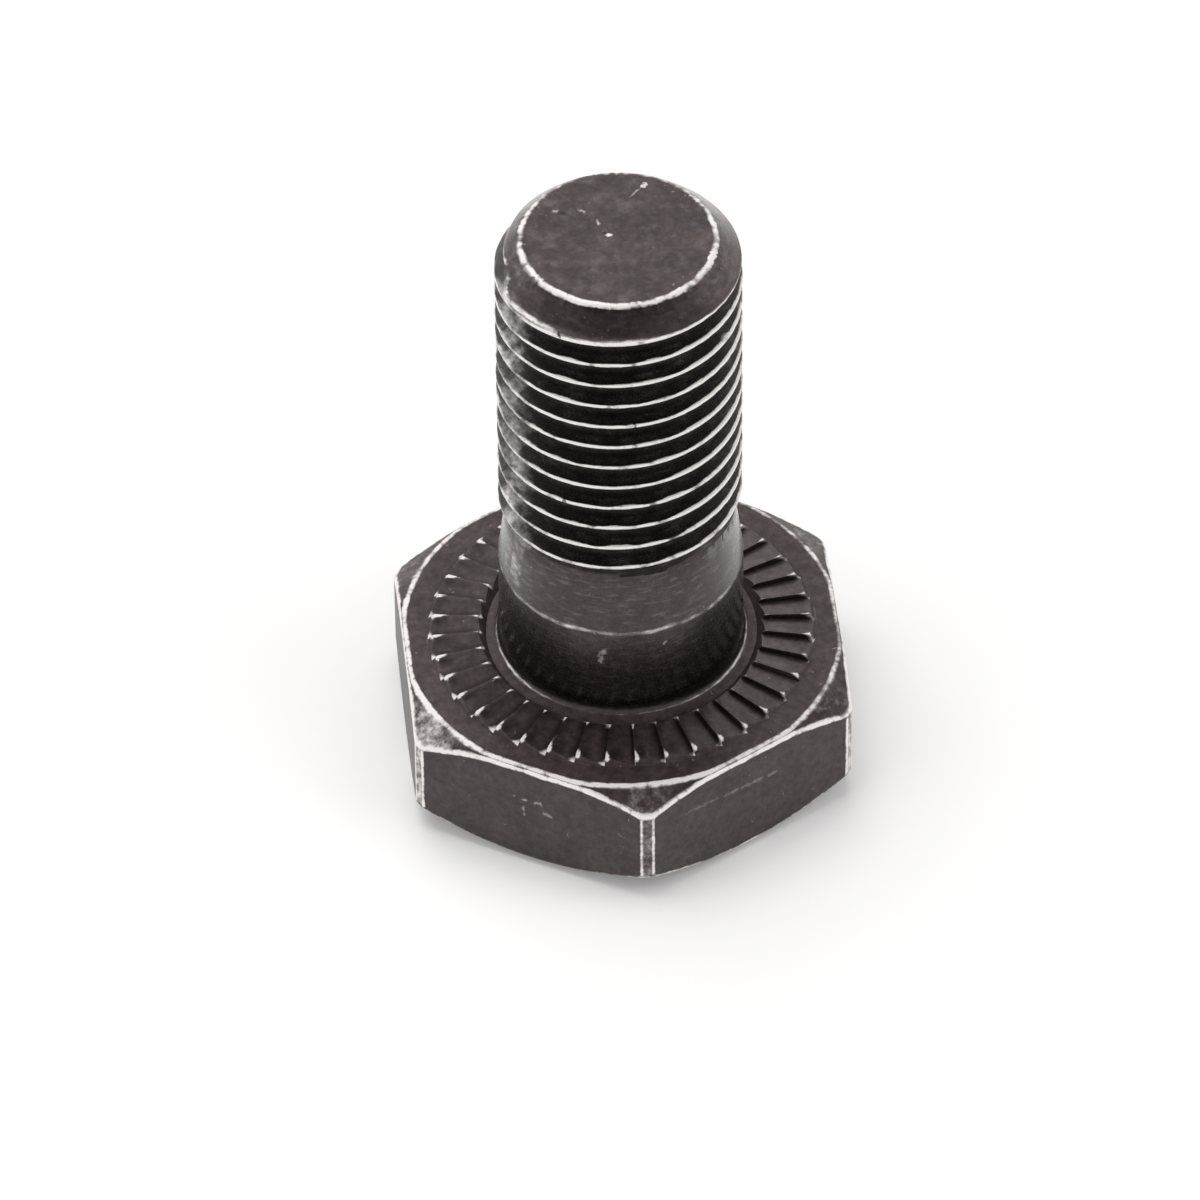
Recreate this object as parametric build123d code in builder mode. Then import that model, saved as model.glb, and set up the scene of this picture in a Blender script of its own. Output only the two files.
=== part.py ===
from build123d import *
import math
import os

# Ring gear bolt: a forged hex head with a ring of ratchet teeth on its bearing
# face, a plain body that pilots in the carrier, a necked run-out and a rolled
# fine thread. It stands on the flat end of its head. The origin is the centre
# of that end face, +Z runs along the axis to the tip, and two of the six flats
# face +X and -X. All lengths are millimetres, all angles degrees.

# Hex head. The end circle and the rim circle, where its two chamfers start,
# are given by how far they lie inside or outside the circle that the flats touch.
hex_sides = 6
across_flats = 17.1
corner_radius = 0.4
head_height = 5.1
end_circle_inset = 0.45
end_chamfer_angle = 34.0
rim_circle_overhang = 0.05
rim_chamfer_angle = 30.0

# Size of the shank and its thread, 3/8 inch with 24 turns to the inch
nominal_d = 9.525
pitch = 25.4 / 24
flank_angle = 30.0
crest_clearance = 0.04

# Lengths along the shank, the last from the bearing face to the tip
body_length = 4.4
neck_length = 2.7
bolt_length = 20.64
underhead_fillet = 0.5

# Ratchet teeth, standing on the bearing face between its rim and the fillet
tooth_count = 40
tooth_height = 0.25
tooth_foot_rise = 0.02
tooth_ring_angle = 4.5
tooth_phase = 7.2
rim_width = 1.0
fillet_gap = 0.04

# Tip, chamfered to below the thread's root
tip_root_inset = 0.32
tip_chamfer_angle = 45.0
tip_edge_radius = 0.2
groove_end_angle = 205.0

# Thread form, worked out from the pitch
flank_slope = math.tan(math.radians(flank_angle))
sharp_height = pitch / 2 / flank_slope
crest_width = pitch / 8
thread_depth = sharp_height - sharp_height / 8 - sharp_height / 6

# Radii of the shank. The thread is rolled from a blank of its pitch diameter.
body_r = nominal_d / 2
crest_r = body_r - crest_clearance
root_r = crest_r - thread_depth
blank_r = body_r - sharp_height * 3 / 8
tip_r = root_r - tip_root_inset

# Radii of the head
flat_r = across_flats / 2
corner_r = flat_r / math.cos(math.pi / hex_sides)
end_circle_r = flat_r - end_circle_inset
rim_circle_r = flat_r + rim_circle_overhang
teeth_outer_r = rim_circle_r - rim_width
teeth_inner_r = body_r + underhead_fillet + fillet_gap

# Heights along the axis
bearing_z = head_height
body_top_z = bearing_z + body_length
neck_top_z = body_top_z + neck_length
tip_z = bearing_z + bolt_length

# Slopes of the chamfers
end_chamfer_rise = (corner_r - end_circle_r) * math.tan(math.radians(end_chamfer_angle))
rim_chamfer_fall = (corner_r - rim_circle_r) * math.tan(math.radians(rim_chamfer_angle))
tip_slope = math.tan(math.radians(tip_chamfer_angle))

# Head: a hexagonal prism, turned to a cone at both ends
with BuildPart() as head:
    with BuildSketch():
        RegularPolygon(
            radius=flat_r,
            side_count=hex_sides,
            major_radius=False,
            rotation=180 / hex_sides,
        )
    extrude(amount=head_height)
    fillet(head.edges().filter_by(Axis.Z), radius=corner_radius)
    with BuildSketch(Plane.XZ):
        with BuildLine():
            Polyline(
                (0, 0),
                (end_circle_r, 0),
                (corner_r, end_chamfer_rise),
                (corner_r, bearing_z - rim_chamfer_fall),
                (rim_circle_r, bearing_z),
                (0, bearing_z),
                close=True,
            )
        make_face()
    revolve(axis=Axis.Z, mode=Mode.INTERSECT)

# One ratchet tooth: an upright wall that faces clockwise, seen from the tip,
# then a ramp that falls to the foot of the next wall. The foot line climbs a
# little towards the shank, and both ends slope at 45 degrees. The tooth
# reaches down into the head by its own height.
tooth_angle = 360 / tooth_count
ring_rise = (teeth_outer_r - teeth_inner_r) * math.tan(math.radians(tooth_ring_angle))
tooth_top_rise = tooth_height + ring_rise
foot_z = bearing_z + tooth_foot_rise
crest_point = Vector(teeth_outer_r, 0, bearing_z + tooth_height)
foot_outer = Vector(teeth_outer_r, 0, foot_z).rotate(Axis.Z, tooth_angle)
foot_inner = Vector(teeth_inner_r, 0, foot_z + ring_rise).rotate(Axis.Z, tooth_angle)
ramp_normal = (foot_inner - foot_outer).cross(crest_point - foot_outer)
ramp_plane = Plane(origin=foot_outer, z_dir=ramp_normal)

with BuildPart() as tooth:
    with BuildSketch(Plane.XZ):
        with BuildLine():
            Polyline(
                (teeth_inner_r, bearing_z - tooth_height),
                (teeth_outer_r, bearing_z - tooth_height),
                (teeth_outer_r, bearing_z),
                (teeth_outer_r - tooth_top_rise, bearing_z + tooth_top_rise),
                (teeth_inner_r + tooth_top_rise, bearing_z + tooth_top_rise),
                (teeth_inner_r, bearing_z),
                close=True,
            )
        make_face()
    revolve(axis=Axis.Z, revolution_arc=tooth_angle)
    split(bisect_by=ramp_plane, keep=Keep.BOTTOM)

# Threaded end: a ridge follows a right-hand helix, sunk a little in a core of
# root diameter, and a turned envelope cuts both to the run-out and to the tip.
# The core's seam lies half a turn away from where the ridge starts.
ridge_sink = thread_depth / 5
ridge_r = root_r - ridge_sink
ridge_foot = crest_width / 2 + (crest_r - ridge_r) * flank_slope
helix_start_z = neck_top_z - pitch
helix_height = tip_z + pitch - helix_start_z
core_plane = Plane.XY.offset(helix_start_z - pitch).rotated((0, 0, 180))
envelope_r = crest_r + thread_depth

# The last groove ends where it climbs onto the tip's chamfer. From there on a
# band fills the room between two turns of the ridge, for less than one turn.
crest_end_z = tip_z - (crest_r - tip_r) * tip_slope
groove_end_turn = groove_end_angle / 360
turns_below = math.floor((crest_end_z - helix_start_z) / pitch - groove_end_turn)
band_z = helix_start_z + (turns_below + groove_end_turn) * pitch
band_r = crest_r - thread_depth / 100
band_height = pitch * 4 / 5

with BuildPart() as band:
    with BuildLine():
        Helix(pitch=pitch, height=band_height, radius=ridge_r, center=(0, 0, band_z))
    with BuildSketch(Plane.XZ):
        with BuildLine():
            Polyline(
                (ridge_r, band_z),
                (band_r, band_z),
                (band_r, band_z + pitch),
                (ridge_r, band_z + pitch),
                close=True,
            )
        make_face()
    sweep(is_frenet=True)

with BuildPart() as thread:
    with BuildLine():
        Helix(pitch=pitch, height=helix_height, radius=ridge_r, center=(0, 0, helix_start_z))
    with BuildSketch(Plane.XZ):
        with BuildLine():
            Polyline(
                (ridge_r, helix_start_z - ridge_foot),
                (crest_r, helix_start_z - crest_width / 2),
                (crest_r, helix_start_z + crest_width / 2),
                (ridge_r, helix_start_z + ridge_foot),
                close=True,
            )
        make_face()
    sweep(is_frenet=True)
    with BuildSketch(core_plane):
        Circle(root_r)
    extrude(amount=helix_height + 2 * pitch)
    add(band.part, rotation=(0, 0, groove_end_angle))
    with BuildSketch(Plane.XZ) as envelope:
        with BuildLine():
            Polyline(
                (0, neck_top_z),
                (blank_r, neck_top_z),
                (envelope_r, neck_top_z + envelope_r - blank_r),
                (envelope_r, tip_z - (envelope_r - tip_r) * tip_slope),
                (tip_r, tip_z),
                (0, tip_z),
                close=True,
            )
        make_face()
        tip_corner = envelope.vertices().group_by(Axis.Y)[-1].sort_by(Axis.X)[-1]
        fillet(tip_corner, radius=tip_edge_radius)
    revolve(axis=Axis.Z, mode=Mode.INTERSECT)

# The whole bolt, one forging: head, filleted body and neck, and threaded end.
# The neck's cone goes on into the thread's core, so that the last groove of
# the thread climbs out over it.
with BuildPart() as bolt:
    with BuildSketch(Plane.XZ):
        with BuildLine():
            fillet_foot = (body_r + underhead_fillet, bearing_z)
            fillet_top = (body_r, bearing_z + underhead_fillet)
            core_z = neck_top_z + blank_r - ridge_r
            Line((0, bearing_z), fillet_foot)
            RadiusArc(fillet_foot, fillet_top, underhead_fillet)
            Polyline(
                fillet_top,
                (body_r, body_top_z),
                (blank_r, neck_top_z),
                (ridge_r, core_z),
                (0, core_z),
                (0, bearing_z),
            )
        make_face()
    revolve(axis=Axis.Z)
    add(head.part)
    with PolarLocations(0, tooth_count, start_angle=tooth_phase):
        add(tooth.part)
    add(thread.part)

bolt.part.label = "bolt"
os.makedirs("parts", exist_ok=True)
export_step(bolt.part, "parts/bolt.step")
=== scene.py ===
"""A ring gear bolt in worn black oxide steel, standing on its head on a pale floor.

The bolt is one closed surface, worked out as whole arrays: columns run round the axis, rows run
from the middle of the head's end face, over the hexagon, the ratchet teeth, the body and the
thread, to the middle of the tip. Every length is in metres and every angle in radians, in the
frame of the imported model.
"""

import math

import bmesh
import bpy
import numpy as np
from mathutils import Matrix, Vector


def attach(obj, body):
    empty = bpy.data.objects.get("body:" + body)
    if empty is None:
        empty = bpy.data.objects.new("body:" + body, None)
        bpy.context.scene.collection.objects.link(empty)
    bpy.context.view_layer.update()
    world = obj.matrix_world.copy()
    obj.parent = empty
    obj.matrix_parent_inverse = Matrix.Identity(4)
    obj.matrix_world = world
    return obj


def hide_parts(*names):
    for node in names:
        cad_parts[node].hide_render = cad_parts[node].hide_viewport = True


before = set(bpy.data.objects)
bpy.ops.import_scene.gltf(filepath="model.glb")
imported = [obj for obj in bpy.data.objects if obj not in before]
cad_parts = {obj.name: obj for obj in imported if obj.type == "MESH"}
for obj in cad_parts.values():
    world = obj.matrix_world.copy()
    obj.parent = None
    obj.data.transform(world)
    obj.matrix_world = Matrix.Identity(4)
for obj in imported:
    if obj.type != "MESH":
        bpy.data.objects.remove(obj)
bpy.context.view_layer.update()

bl_info = {
    "name": "Ring Gear Bolt",
    "version": (1, 0, 0),
    "blender": (4, 5, 0),
    "location": "3D View > Sidebar > Bolt",
    "description": "Builds a ring gear bolt with a ratchet face and a rolled thread, and its stage",
    "category": "Add Mesh",
}

MM = 0.001
FULL_TURN = 2 * math.pi

# Points that lie nearer than this are merged, and edges that bend more than this stay sharp.
WELD = 2e-7
SHARP_BEND = math.radians(38)

# Half the angle that a side of the hexagon spans, and the slope of the thread's flanks
HALF_SIDE = math.pi / 6
FLANK_SLOPE = math.tan(math.pi / 6)

# Steps over a rounded corner, and its rows: one more than the steps, and two without its wear
ROUNDING_STEPS = 3
CORNER_ROWS = ROUNDING_STEPS + 3

# The share of a tooth that its wall takes
WALL_SHARE = 0.012

# How much painted shade darkens the plain flats, shank and neck
PAINTED_SHADE_FLATS = 0.3
PAINTED_SHADE_SHANK = 0.45
PAINTED_SHADE_NECK = 0.5


# Small helpers for arrays


def smooth_min(a, b, width):
    """The lower of a and b, with the corner where they cross rounded over the given width."""
    near = np.clip(width - np.abs(a - b), 0, None)
    return np.minimum(a, b) - near * near / (4 * width)


def smooth_max(a, b, width):
    """The higher of a and b, with the corner where they cross rounded over the given width."""
    return -smooth_min(-a, -b, width)


def bell(distance, width):
    """One at no distance, falling away on both sides as a bell of the given half width."""
    return np.exp(-((distance / width) ** 2))


def turn_gap(a, b):
    """The signed angle from b to a, between minus and plus half a turn."""
    return (a - b + math.pi) % FULL_TURN - math.pi


def ripple(angle, fewest, most, seed):
    """A wavy line round the axis that closes on itself: sines of fewest to most whole waves a turn,
    with seeded heights and starts, scaled to a mean square of one."""
    rng = np.random.default_rng(seed)
    waves = np.arange(fewest, most + 1)[:, None]
    starts = rng.uniform(0, FULL_TURN, waves.shape)
    heights = rng.normal(0, 1, waves.shape)
    heights /= np.sqrt((heights**2).sum() / 2)
    return (heights * np.sin(waves * angle + starts)).sum(0)


def patchy(angle, fewest, most, seed, low, high):
    """An uneven share round the axis, between low and high: a ripple, held to one either way."""
    return low + (high - low) * (0.5 + 0.5 * np.clip(ripple(angle, fewest, most, seed), -1, 1))


def rubbed_side(angle, toward, least):
    """How much a place has rubbed against others: one on the side at that angle, falling away as a
    cosine to least on the far side."""
    return least + (1 - least) * (0.5 + 0.5 * np.cos(angle - toward))


def near_rubbed(s, angle, turned, width):
    """How near a place lies to the side that is turned that far from the one that rubbed most: one
    on that side, falling away as a bell of the given half width."""
    return bell(turn_gap(angle, s.rubbed_toward + turned), width)


def scuff_and_sheen(s, angle, across=0.0):
    """How much a side of the shank is scuffed and lit: a patch on the side that rubbed, and one that
    may lie across from it, each partly scuffing and partly a painted sheen."""
    toward = near_rubbed(s, angle, 0.0, math.radians(24))
    other = near_rubbed(s, angle, math.radians(140), math.radians(17))
    return 0.5 * toward + across * other


# The bolt's columns


def column_angles(s):
    """The angles of the columns: seven for each ratchet tooth, close together at its wall, and eleven
    over each corner of the hexagon, where its worn strip begins and ends."""
    tooth = FULL_TURN / s.tooth_count
    shares = np.array([0.0, WALL_SHARE, 0.045, 0.1, 0.16, 0.3, 0.64])
    teeth = s.tooth_phase + tooth * (np.arange(s.tooth_count)[:, None] + shares)
    corner_reach = np.radians([-3.2, -1.9, -1.5, -1.25, -0.9, 0.0, 0.9, 1.25, 1.5, 1.9, 3.2])
    corners = HALF_SIDE + math.pi / 3 * np.arange(6)[:, None] + corner_reach
    angles = np.sort(np.concatenate([teeth.ravel(), corners.ravel()]) % FULL_TURN)
    closest = math.radians(0.06)
    apart = np.diff(angles, append=angles[0] + FULL_TURN) > closest
    angles = angles[apart & (angles > closest)]
    return np.concatenate([[0.0], angles, [FULL_TURN]])


# The bolt's rows. Each function returns an array of rows by columns by four: the distance from the
# axis, the height, how worn the surface is and how much painted shade darkens it.


def rows_of(radius, height, worn=0.0, painted_shade=0.0):
    """Stacks four arrays, each spread to rows by columns, into one."""
    return np.stack(np.broadcast_arrays(radius, height, worn, painted_shade), axis=-1)


def rounded_path(corners, steps=ROUNDING_STEPS):
    """Rows along a profile with rounded corners. A corner is its distance from the axis, its height,
    how far its rounding reaches to each side and how worn it is. The rounding is a parabola whose
    control point is the corner, worn most in its middle, with one more row on each side where the
    wear has faded out. Neither reaches half way to the next corner. The first and the last corner
    are only ends, and give no row."""
    bend_room, fade_room, fade_reach, less_aside = 0.45, 0.49, 1.9, 0.4
    points = np.stack([np.stack(np.broadcast_arrays(c[0], c[1])) for c in corners])
    lengths = np.linalg.norm(np.diff(points, axis=0), axis=1) + 1e-12
    share = np.linspace(0, 1, steps + 1)
    rows = []
    for i, (_, _, reach, worn) in enumerate(corners[1:-1], start=1):
        before, here, after = points[i - 1 : i + 2]
        back = (before - here) / lengths[i - 1]
        ahead = (after - here) / lengths[i]
        room_back = np.minimum(reach, bend_room * lengths[i - 1])
        room_ahead = np.minimum(reach, bend_room * lengths[i])
        fade_back = np.minimum(fade_reach * room_back, fade_room * lengths[i - 1])
        fade_ahead = np.minimum(fade_reach * room_ahead, fade_room * lengths[i])
        rows.append((here + back * fade_back, 0.0))
        for t in share:
            bend = here + back * room_back * (1 - t) ** 2 + ahead * room_ahead * t**2
            rows.append((bend, worn * (1 - less_aside * abs(2 * t - 1))))
        rows.append((here + ahead * fade_ahead, 0.0))
    return np.stack([rows_of(place[0], place[1], worn) for place, worn in rows])


def hexagon_radius(s, angle):
    """How far the hexagon's side lies from the axis: the nearest flat, or at a corner the narrow
    strip that cuts it off square. The second value is how worn it is: one along the strip's two
    edges and less between them."""
    strip_wear = 0.52
    from_corner = np.abs(turn_gap(6 * angle, math.pi)) / 6
    flat = s.across_flats / 2 / np.cos(HALF_SIDE - from_corner)
    corner = s.across_flats / 2 / math.cos(HALF_SIDE)
    strip = (corner - s.corner_strip / 2 / math.tan(math.pi / 3)) / np.cos(from_corner)
    edge = bell(flat - strip, 0.045 * MM)
    worn = np.maximum(edge, np.where(flat > strip, strip_wear, 0))
    return smooth_min(flat, strip, 0.05 * MM), worn


def head_rows(s, angle):
    """The head from the middle of its end face to the foot of the teeth: end face, end chamfer,
    hexagon, rim chamfer and rim. Both chamfers are cones that the flats cut into arcs. Every edge
    is worn unevenly, and so are the corner strips. The rim chamfer near the corners is scuffed,
    partly wear and partly a painted sheen, most on the rubbed side, and painted shade darkens the
    flats. That chamfer never gets smaller than least, so that its edges stay apart."""
    side, strip_edge = hexagon_radius(s, angle)
    end = s.across_flats / 2 - s.end_circle_inset
    rim = s.across_flats / 2 + s.rim_circle_overhang
    least, rounding = 0.12 * MM, 0.1 * MM
    low = (side - end) * math.tan(s.end_chamfer)
    fall = smooth_max((side - rim) * math.tan(s.rim_chamfer), least + 0 * side, rounding)
    rim_edge = smooth_min(side - least, rim + 0 * side, rounding)
    wander = 0.012 * MM * ripple(angle, 5, 60, seed=11)
    rim_wear = rubbed_side(angle, s.rubbed_toward + 0.5, 0.6) * patchy(angle, 3, 40, 19, 0.85, 1.2)
    top_wear = patchy(angle, 3, 50, 17, 0.95, 1.2)
    low_wear = 0.95 * patchy(angle, 3, 40, 15, 0.6, 1.0)
    low_wear = low_wear * (1 - 0.6 * near_rubbed(s, angle, 0.7, 0.5))
    face_shares = np.array([0.0, 0.2, 0.5, 0.8])[:, None]
    face = rows_of(end * face_shares + 0 * angle, 0 * angle)
    sides = rounded_path(
        [
            (end * face_shares[-1], 0.0 * angle, 0, 0),
            (end + wander, 0.0 * angle, 0.14 * MM, 0.4),
            (side, low, 0.09 * MM, low_wear),
            (side, s.head_height - fall + wander, 0.105 * MM, top_wear),
            (rim_edge, s.head_height + 0 * angle, rounding, rim_wear),
            (rim - s.rim_width, s.head_height + 0 * angle, 0, 0),
        ]
    )
    worn = sides[..., 2]
    upright = slice(2 * CORNER_ROWS - 1, 2 * CORNER_ROWS + 1)
    worn[upright] = np.maximum(worn[upright], strip_edge * patchy(angle, 4, 30, 13, 0.55, 1.0))
    # Scuffs on the rim chamfer at the corners: partly wear and partly a painted sheen, most on the
    # rubbed side
    corner = bell(turn_gap(6 * angle, math.pi) / 6, math.radians(15))
    scuff_and_sheen_wear = corner * (0.34 + 0.16 * near_rubbed(s, angle, 0.0, 0.6))
    chamfer = slice(3 * CORNER_ROWS - 1, 3 * CORNER_ROWS + 1)
    worn[chamfer] = np.maximum(worn[chamfer], scuff_and_sheen_wear)
    # Painted shade darkens the flats
    sides[CORNER_ROWS : 2 * CORNER_ROWS + 2, :, 3] = PAINTED_SHADE_FLATS
    return np.concatenate([face, sides])


def ring_edges(s):
    """The outer and the inner edge of the ring of teeth."""
    outer = s.across_flats / 2 + s.rim_circle_overhang - s.rim_width
    inner = s.nominal_diameter / 2 + s.underhead_fillet + s.fillet_gap
    return outer, inner


def tooth_form(s, angle):
    """A tooth's share, nothing at the foot of its wall and one at the next wall, and its height at
    the ring's outer edge with what it gains for each unit of length inwards. The foot line climbs
    towards the shank, and the ramp is the plane through it and the crest's outer end. The crest
    is dulled a little."""
    outer = ring_edges(s)[0]
    tooth = FULL_TURN / s.tooth_count
    climb = math.tan(s.tooth_ring_angle)
    share = ((angle - s.tooth_phase) / tooth + 1e-6) % 1.0
    rest = tooth * (1 - share)
    rise = (s.tooth_height - s.tooth_foot_rise) / outer
    steep = (rise - climb * (1 - math.cos(tooth))) / math.sin(tooth)
    wall = np.clip(share / WALL_SHARE, 0, 1)
    lean = wall * (climb * (1 - np.cos(rest)) + steep * np.sin(rest))
    dulling = 0.012 * MM
    dulled = dulling * bell(share - 0.03, 0.05) * wall
    return share, s.tooth_foot_rise + lean * outer - dulled, climb - lean


def teeth_rows(s, angle):
    """The ring of ratchet teeth, from its outer end to its inner end. Both ends slope at 45 degrees,
    so each end row lies as far in from the ring's edge as it stands over the rim. The wear is
    brightest in a dot on the outer corner of each crest, on the side where the bolt rubbed most,
    partly wear and partly a painted highlight. Painted shade darkens a pocket after the dot, the
    foot of each wall, the outer end's slope and, on the rubbed side, the inner end."""
    outer, inner = ring_edges(s)
    base = s.head_height
    share, at_outer, gain = tooth_form(s, angle)
    high_out = at_outer / (1 - gain)
    high_in = (at_outer + gain * (outer - inner)) / (1 + gain)
    rub = rubbed_side(angle, s.rubbed_toward, 0.25) * patchy(angle, 12, 40, 23, 0.7, 1.0)
    aside = np.cos(angle) ** 2
    # A bright dot on each crest's outer corner: partly wear and partly a painted highlight
    dot = 1.8 * np.where(share < 0.4, bell(share - 0.06, 0.08), 0) * rub
    crest = np.where(share < 0.2, bell(share - 0.03, 0.035), 0)
    after_dot = bell(share - 0.26, 0.12)
    foot_shade = bell(share - 1.0, 0.12) + bell(share, 0.012)
    climb = np.array([0.0, 0.35, 0.8, 1.0])[:, None]
    edge = bell(climb - 1.0, 0.4)
    # The outer end's rows, with painted shade on the middle of its slope
    out_rows = rows_of(
        outer - climb * high_out,
        base + climb * high_out,
        np.clip(edge * (1.3 * dot + 0.2 * aside) + 0.3 * aside * bell(climb, 0.25), 0, 1),
        0.4 * bell(climb - 0.35, 0.3),
    )
    start = outer - high_out
    stop = inner + high_in
    # Where the rows lie from start to stop, how worn the crest and its dot are on each of them,
    # and how much painted shade darkens the pocket
    across = np.array([0.035, 0.11, 0.22, 0.42, 0.65, 0.85, 0.96])[:, None]
    line = np.array([0.6, 0.5, 0.4, 0.3, 0.25, 0.3, 0.45])[:, None]
    spot = np.array([1.1, 0.5, 0.1, 0.0, 0.0, 0.1, 0.4])[:, None]
    pocket_shade = np.array([0.7, 1.1, 0.8, 0.1, 0.0, 0.1, 0.5])[:, None]
    radius = start + (stop - start) * across
    along_crest = crest * patchy(angle, 10, 44, 25, 0.4, 1.0)
    # The middle rows, with painted shade at the foot of each wall and in the pocket after each dot
    middle = rows_of(
        radius,
        base + at_outer + gain * (outer - radius),
        np.clip(line * along_crest + spot * dot, 0, 1),
        np.clip(0.85 * foot_shade + pocket_shade * after_dot * rub, 0, 1),
    )
    on_rubbed = np.clip(1.6 * rub - 0.5, 0, 1)
    # The inner end's rows, with painted shade at the foot of each wall and after each dot, on the
    # rubbed side
    in_rows = rows_of(
        inner + climb[::-1] * high_in,
        base + climb[::-1] * high_in,
        np.clip(edge[::-1] * (0.7 * dot + 0.3 * along_crest), 0, 1),
        bell(climb[::-1], 0.6) * on_rubbed * np.clip(foot_shade + 0.5 * after_dot, 0, 1),
    )
    return np.concatenate([out_rows, middle, in_rows])


def body_rows(s, angle):
    """The fillet under the head, the plain body and the neck: a quarter circle, an upright and a
    slope that stops where the thread begins. A thin line half way along the fillet's curve is
    bright, partly polish and partly a painted highlight, most on two sides of the shank, with a
    line of painted shade above it. Painted shade also darkens the body and the neck, whose sides
    carry scuffs with a painted sheen."""
    body = s.nominal_diameter / 2
    fillet = s.underhead_fillet
    swing = np.radians([0, 18, 32, 40, 48, 56, 64, 76, 90])[:, None]
    # Where the bright line lies, partly polish and partly a painted highlight, and the line of painted
    # shade above it
    bright_line, shade_line = math.radians(48), 1.2
    polish_and_highlight = 0.35 + 0.4 * near_rubbed(s, angle, 0.0, math.radians(26))
    polish_and_highlight = polish_and_highlight + 0.3 * near_rubbed(s, angle, math.radians(132), 0.6)
    curve = rows_of(
        body + fillet * (1 - np.sin(swing)) + 0 * angle,
        s.head_height + fillet * (1 - np.cos(swing)),
        polish_and_highlight * bell(swing - bright_line, 0.17) * patchy(angle, 8, 60, 31, 0.9, 1.05),
        0.7 * bell(swing - shade_line, 0.25),
    )
    body_top = s.head_height + s.body_length
    wander = 0.02 * MM * ripple(angle, 3, 25, seed=37)
    top_wear = 0.52 * patchy(angle, 5, 50, 39, 0.88, 1.0)
    shank = rounded_path(
        [
            (body + 0 * angle, s.head_height + fillet, 0, 0),
            (body + 0 * angle, body_top + wander, 0.12 * MM, top_wear),
            (blank_radius(s) + 0 * angle, thread_start(s), 0, 0),
        ]
    )
    # Painted shade darkens the plain body
    shank[..., 3] = PAINTED_SHADE_SHANK
    # The neck: scuffs with a painted sheen on its sides, and painted shade all over
    share = np.array([0.15, 0.4, 0.7])[:, None]
    neck = rows_of(
        body + (blank_radius(s) - body) * share + 0 * angle,
        body_top + s.neck_length * share,
        1.5 * scuff_and_sheen(s, angle, 0.45) ** 2 * patchy(angle, 9, 60, 33, 0.7, 1.2),
        PAINTED_SHADE_NECK,
    )
    return np.concatenate([curve, shank, neck])


def sharp_height(s):
    """The height of the sharp triangle that the thread form is cut from."""
    return s.pitch / 2 / FLANK_SLOPE


def crest_radius(s):
    """Half the diameter over the thread's crests."""
    return s.nominal_diameter / 2 - s.crest_clearance


def root_radius(s):
    """Half the diameter over the thread's roots: the crests less 17/24 of the sharp triangle."""
    return crest_radius(s) - sharp_height(s) * 17 / 24


def blank_radius(s):
    """Half the diameter of the blank, the mean of what rolling presses in and pushes out."""
    return s.nominal_diameter / 2 - sharp_height(s) * 3 / 8


def tip_radius(s):
    """Half the diameter of the tip's face, out to where its edge would be if it were sharp."""
    return root_radius(s) - s.tip_root_inset


def thread_start(s):
    """The height at which the neck ends and the thread begins."""
    return s.head_height + s.body_length + s.neck_length


def land_height(s):
    """The height at which the tip's cone, which slopes at 45 degrees, comes down to the crests."""
    return s.head_height + s.bolt_length - (crest_radius(s) - tip_radius(s))


def ripple_along(along, fewest, most, seed):
    """A wavy line that runs along the thread and closes on itself after about twelve turns. Along is
    the angle turned from the thread's start."""
    return ripple(0.083 * along.ravel(), fewest, most, seed).reshape(along.shape)


def groove_depth(s, turns, angle):
    """The depth of the groove as a share of the full depth: one along the thread, then a smooth fall
    to nothing where its last turn climbs onto the tip's cone."""
    groove = np.floor(turns) + angle / FULL_TURN
    end_share = s.groove_end / FULL_TURN
    end = math.floor((land_height(s) - thread_start(s)) / s.pitch - end_share) + end_share
    left = np.clip((end - groove) / (s.groove_fade / FULL_TURN), 0, 1)
    return left * left * (3 - 2 * left)


def thread_radius(s, angle, height):
    """How far the thread's surface lies from the axis: a level crest with shallow dents, two flanks
    at 30 degrees and a rounded root, which climb one pitch a turn. It grows out of the blank over
    the neck, loses its last groove near the tip and is cut off by the cone of the tip. The other
    value is how far the tip's cone lies outside the thread."""
    start = thread_start(s)
    crest_rounding, root_rounding, dent = 0.05 * MM, 0.22 * MM, 0.012 * MM
    turns = (height - start) / s.pitch - angle / FULL_TURN
    from_crest = np.abs(turns - np.round(turns)) * s.pitch
    flank = crest_radius(s) - (from_crest - s.pitch / 16) / FLANK_SLOPE
    form = smooth_min(flank, crest_radius(s) + 0 * flank, crest_rounding)
    form = smooth_max(form, root_radius(s) + 0 * flank, root_rounding)
    form = crest_radius(s) - (crest_radius(s) - form) * groove_depth(s, turns, angle)
    along = angle + FULL_TURN * np.round(turns)
    battered = np.clip(ripple_along(along, 400, 520, seed=47) - 0.6, 0, 1.5)
    form = form - dent * battered * bell(from_crest, 0.12 * MM)
    form = smooth_min(form, blank_radius(s) + height - start, 0.05 * MM)
    form = smooth_max(form, blank_radius(s) - (height - start), 0.03 * MM)
    cone = tip_radius(s) + s.head_height + s.bolt_length - height
    return smooth_min(form, cone, 0.04 * MM), cone - form


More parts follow.
